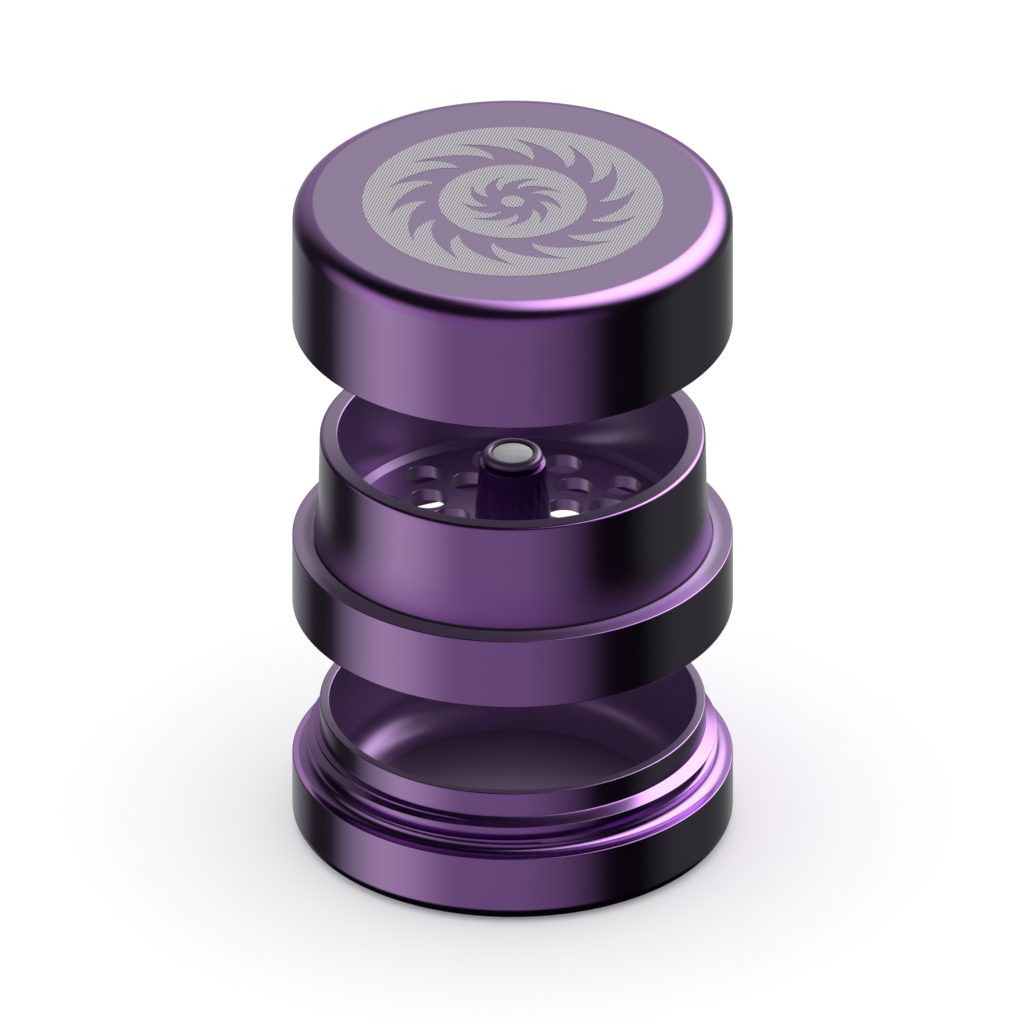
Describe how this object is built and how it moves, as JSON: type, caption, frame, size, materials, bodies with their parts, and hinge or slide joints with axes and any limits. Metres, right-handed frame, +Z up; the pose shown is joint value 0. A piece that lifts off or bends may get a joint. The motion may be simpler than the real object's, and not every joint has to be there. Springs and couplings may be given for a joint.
{
  "type": "hand herb grinder",
  "caption": "Round three-section metal hand grinder: lid with bladed rotor, perforated cup with magnet post, and a threaded storage jar, shown pulled apart.",
  "frame": {"origin": "centre of the jar's flat underside, where the grinder stands", "axes": "+Z up along the common axis of the three sections; the sections are bodies of revolution, and +X is to the right and -Y towards the viewer"},
  "size_m": [0.063, 0.063, 0.1007],
  "materials": {
    "anodised_purple": "satin purple anodised, lid top bead-blasted",
    "nickel_plate": "satin nickel plate",
    "screw_steel": "plain stainless",
    "glide_polymer": "black low-friction polymer",
    "seal_silicone": "dark silicone"
  },
  "bodies": {
    "jar": {"jar": "anodised_purple"},
    "seal": {"chamber_seal": "seal_silicone"},
    "chamber": {"grinding_chamber": "anodised_purple", "centre_post": "anodised_purple", "post_screw": "screw_steel", "post_magnet": "nickel_plate"},
    "glide": {"glide_ring": "glide_polymer"},
    "lid": {"lid_shell": "anodised_purple", "lid_rotor": "anodised_purple", "rotor_screw_1": "screw_steel", "rotor_screw_2": "screw_steel", "rotor_screw_3": "screw_steel", "rotor_screw_4": "screw_steel", "rotor_magnet": "nickel_plate"}
  },
  "joints": [
    {"name": "chamber_lift", "type": "slide", "parent": "jar", "child": "seal", "axis": [0, 0, 1], "range_m": [-0.0247, 0.015]},
    {"name": "chamber_unscrew", "type": "hinge", "parent": "seal", "child": "chamber", "pos_m": [0, 0, 0.0408], "axis": [0, 0, 1], "continuous": true},
    {"name": "lid_turn", "type": "hinge", "parent": "chamber", "child": "glide", "pos_m": [0, 0, 0.0469], "axis": [0, 0, 1], "continuous": true},
    {"name": "lid_lift", "type": "slide", "parent": "glide", "child": "lid", "axis": [0, 0, 1], "range_m": [-0.0349, 0.015]}
  ]
}
